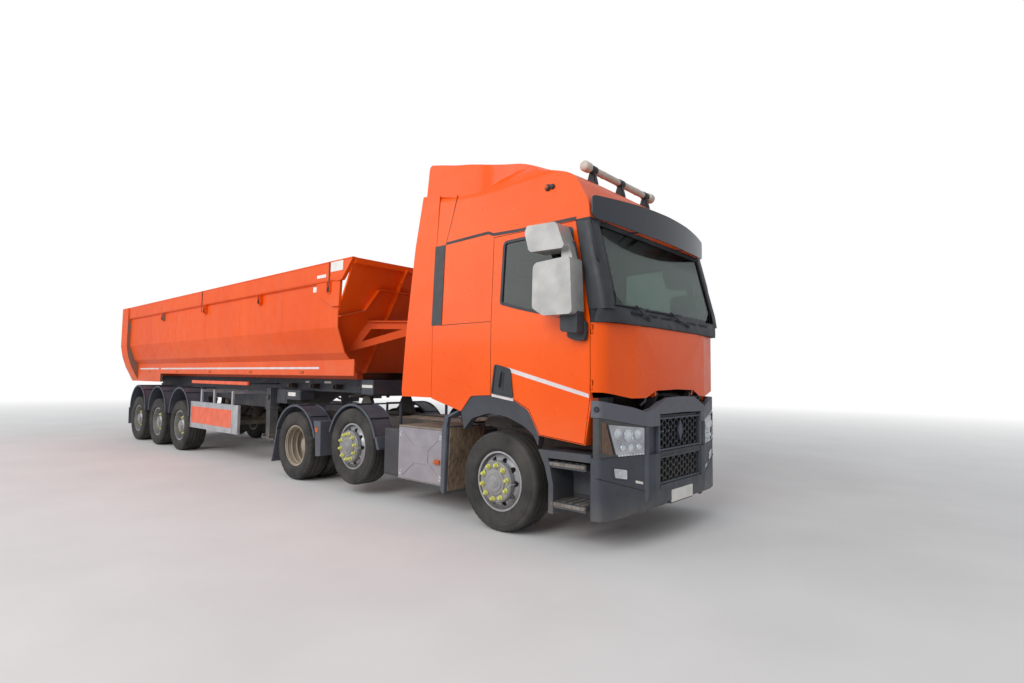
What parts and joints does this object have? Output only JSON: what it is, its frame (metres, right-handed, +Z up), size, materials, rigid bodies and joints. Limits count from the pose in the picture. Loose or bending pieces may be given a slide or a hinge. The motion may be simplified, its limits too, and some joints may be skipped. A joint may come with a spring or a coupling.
{
  "type": "articulated tipper lorry",
  "caption": "Sleeper-cab tractor unit coupled to a tri-axle semi-trailer whose half-pipe body is tipped by a telescopic ram.",
  "frame": {"origin": "on the floor, halfway along and across the whole lorry", "axes": "+X forward along the lorry, +Y to its left, +Z up"},
  "size_m": [14.4, 2.98, 4.0849],
  "materials": {
    "orange_paint": "satin",
    "chassis_grey": "satin",
    "trailer_blue": "satin",
    "axle_dark": "matte",
    "engine_iron": "matte",
    "dark_plastic": "matte",
    "lamp_glass": "gloss",
    "locker_grey": "matte",
    "window_glass": "gloss",
    "cab_cloth": "matte",
    "bar_beige": "satin",
    "mirror_silver": "satin",
    "guard_alloy": "satin",
    "ram_steel": "satin",
    "tyre_rubber": "matte",
    "rim_silver": "satin",
    "rim_dusty": "matte"
  },
  "bodies": {
    "tractor": {"tractor_frame": "chassis_grey", "tractor_axles": "axle_dark", "engine": "engine_iron", "bumper": "dark_plastic", "grille": "dark_plastic", "headlamps": "lamp_glass", "side_locker": "locker_grey", "tanks": "dark_plastic", "tractor_mudguards": "dark_plastic", "fifth_wheel": "chassis_grey"},
    "cab": {"cab_shell": "orange_paint", "cab_fairings": "orange_paint", "cab_trim": "dark_plastic", "windscreen": "window_glass", "cab_interior": "cab_cloth", "light_bar": "bar_beige"},
    "trailer": {"trailer_frame": "trailer_blue", "trailer_axles": "axle_dark", "trailer_mudguards": "dark_plastic", "side_guards": "guard_alloy"},
    "bed": {"tipper_body": "orange_paint"},
    "tailgate": {"tailgate": "orange_paint"},
    "ram_cover": {"ram_cover": "ram_steel"},
    "ram_stage_1": {"ram_stage_1": "ram_steel"},
    "ram_stage_2": {"ram_stage_2": "ram_steel"},
    "ram_stage_3": {"ram_stage_3": "ram_steel"},
    "ram_stage_4": {"ram_stage_4": "ram_steel"},
    "ram_stage_5": {"ram_stage_5": "ram_steel"},
    "door_right": {"door_right": "orange_paint", "door_glass_right": "window_glass", "mirror_right": "mirror_silver"},
    "knuckle_right": {"knuckle_right": "axle_dark"},
    "door_left": {"door_left": "orange_paint", "door_glass_left": "window_glass", "mirror_left": "mirror_silver"},
    "knuckle_left": {"knuckle_left": "axle_dark"},
    "wheel_front_right": {"tyre_front_right": "tyre_rubber", "rim_front_right": "rim_silver"},
    "wheel_front_left": {"tyre_front_left": "tyre_rubber", "rim_front_left": "rim_silver"},
    "wheel_pusher_right": {"tyre_pusher_right": "tyre_rubber", "rim_pusher_right": "rim_silver"},
    "wheel_pusher_left": {"tyre_pusher_left": "tyre_rubber", "rim_pusher_left": "rim_silver"},
    "wheel_drive_right": {"tyres_drive_right": "tyre_rubber", "rims_drive_right": "rim_dusty"},
    "wheel_drive_left": {"tyres_drive_left": "tyre_rubber", "rims_drive_left": "rim_dusty"},
    "wheel_trailer_1_right": {"tyre_trailer_1_right": "tyre_rubber", "rim_trailer_1_right": "rim_silver"},
    "wheel_trailer_1_left": {"tyre_trailer_1_left": "tyre_rubber", "rim_trailer_1_left": "rim_silver"},
    "wheel_trailer_2_right": {"tyre_trailer_2_right": "tyre_rubber", "rim_trailer_2_right": "rim_silver"},
    "wheel_trailer_2_left": {"tyre_trailer_2_left": "tyre_rubber", "rim_trailer_2_left": "rim_silver"},
    "wheel_trailer_3_right": {"tyre_trailer_3_right": "tyre_rubber", "rim_trailer_3_right": "rim_silver"},
    "wheel_trailer_3_left": {"tyre_trailer_3_left": "tyre_rubber", "rim_trailer_3_left": "rim_silver"}
  },
  "joints": [
    {"name": "cab_tilt", "type": "hinge", "parent": "tractor", "child": "cab", "pos_m": [7.09, 0, 1.4], "axis": [0, 1, 0], "range_deg": [0, 60]},
    {"name": "door_right_swing", "type": "hinge", "parent": "cab", "child": "door_right", "pos_m": [6.925, -1.24, 1.75], "axis": [0, 0, 1], "range_deg": [0, 70]},
    {"name": "steer_right", "type": "hinge", "parent": "tractor", "child": "knuckle_right", "pos_m": [5.8, -0.88, 0.5], "axis": [0, 0, 1], "range_deg": [-38, 38]},
    {"name": "door_left_swing", "type": "hinge", "parent": "cab", "child": "door_left", "pos_m": [6.925, 1.24, 1.75], "axis": [0, 0, -1], "range_deg": [0, 70]},
    {"name": "steer_left", "type": "hinge", "parent": "tractor", "child": "knuckle_left", "pos_m": [5.8, 0.88, 0.5], "axis": [0, 0, 1], "range_deg": [-38, 38]},
    {"name": "spin_front_right", "type": "hinge", "parent": "knuckle_right", "child": "wheel_front_right", "pos_m": [5.8, -1.084, 0.5], "axis": [0, 1, 0], "continuous": true},
    {"name": "spin_front_left", "type": "hinge", "parent": "knuckle_left", "child": "wheel_front_left", "pos_m": [5.8, 1.084, 0.5], "axis": [0, 1, 0], "continuous": true},
    {"name": "spin_pusher_right", "type": "hinge", "parent": "tractor", "child": "wheel_pusher_right", "pos_m": [3.164, -1.084, 0.62], "axis": [0, 1, 0], "continuous": true},
    {"name": "spin_pusher_left", "type": "hinge", "parent": "tractor", "child": "wheel_pusher_left", "pos_m": [3.164, 1.084, 0.62], "axis": [0, 1, 0], "continuous": true},
    {"name": "spin_drive_right", "type": "hinge", "parent": "tractor", "child": "wheel_drive_right", "pos_m": [1.667, -0.9115, 0.5], "axis": [0, 1, 0], "continuous": true},
    {"name": "spin_drive_left", "type": "hinge", "parent": "tractor", "child": "wheel_drive_left", "pos_m": [1.667, 0.9115, 0.5], "axis": [0, 1, 0], "continuous": true},
    {"name": "spin_trailer_1_right", "type": "hinge", "parent": "trailer", "child": "wheel_trailer_1_right", "pos_m": [-3.055, -1.045, 0.5], "axis": [0, 1, 0], "continuous": true},
    {"name": "spin_trailer_1_left", "type": "hinge", "parent": "trailer", "child": "wheel_trailer_1_left", "pos_m": [-3.055, 1.045, 0.5], "axis": [0, 1, 0], "continuous": true},
    {"name": "spin_trailer_2_right", "type": "hinge", "parent": "trailer", "child": "wheel_trailer_2_right", "pos_m": [-4.366, -1.045, 0.5], "axis": [0, 1, 0], "continuous": true},
    {"name": "spin_trailer_2_left", "type": "hinge", "parent": "trailer", "child": "wheel_trailer_2_left", "pos_m": [-4.366, 1.045, 0.5], "axis": [0, 1, 0], "continuous": true},
    {"name": "spin_trailer_3_right", "type": "hinge", "parent": "trailer", "child": "wheel_trailer_3_right", "pos_m": [-5.677, -1.045, 0.5], "axis": [0, 1, 0], "continuous": true},
    {"name": "spin_trailer_3_left", "type": "hinge", "parent": "trailer", "child": "wheel_trailer_3_left", "pos_m": [-5.677, 1.045, 0.5], "axis": [0, 1, 0], "continuous": true},
    {"name": "articulation", "type": "hinge", "parent": "tractor", "child": "trailer", "pos_m": [2.267, 0, 1.288], "axis": [0, 0, 1], "range_deg": [-75, 75]},
    {"name": "bed_tip", "type": "hinge", "parent": "trailer", "child": "bed", "pos_m": [-6.3, 0, 1.4], "axis": [0, -1, 0], "range_deg": [0, 45]},
    {"name": "tailgate_swing", "type": "hinge", "parent": "bed", "child": "tailgate", "pos_m": [-7.163, 0, 3.12], "axis": [0, 1, 0], "range_deg": [0, 70]},
    {"name": "ram_swing", "type": "hinge", "parent": "bed", "child": "ram_cover", "pos_m": [3.35, 0, 2.25], "axis": [0, 1, 0], "range_deg": [0, 20.48]},
    {"name": "ram_slide_1", "type": "slide", "parent": "ram_cover", "child": "ram_stage_1", "axis": [0, 0, -1], "range_m": [0, 1.46387]},
    {"name": "ram_slide_2", "type": "slide", "parent": "ram_stage_1", "child": "ram_stage_2", "axis": [0, 0, -1], "range_m": [0, 1.46387]},
    {"name": "ram_slide_3", "type": "slide", "parent": "ram_stage_2", "child": "ram_stage_3", "axis": [0, 0, -1], "range_m": [0, 1.46387]},
    {"name": "ram_slide_4", "type": "slide", "parent": "ram_stage_3", "child": "ram_stage_4", "axis": [0, 0, -1], "range_m": [0, 1.46387]},
    {"name": "ram_slide_5", "type": "slide", "parent": "ram_stage_4", "child": "ram_stage_5", "axis": [0, 0, -1], "range_m": [0, 1.46387]}
  ],
  "couplings": [
    {"joint": "steer_left", "follows": "steer_right", "ratio": 1},
    {"joint": "ram_swing", "follows": "bed_tip", "ratio": 0.45516},
    {"joint": "ram_slide_1", "follows": "bed_tip", "m_per_rad": 1.8639},
    {"joint": "ram_slide_2", "follows": "bed_tip", "m_per_rad": 1.8639},
    {"joint": "ram_slide_3", "follows": "bed_tip", "m_per_rad": 1.8639},
    {"joint": "ram_slide_4", "follows": "bed_tip", "m_per_rad": 1.8639},
    {"joint": "ram_slide_5", "follows": "bed_tip", "m_per_rad": 1.8639}
  ]
}
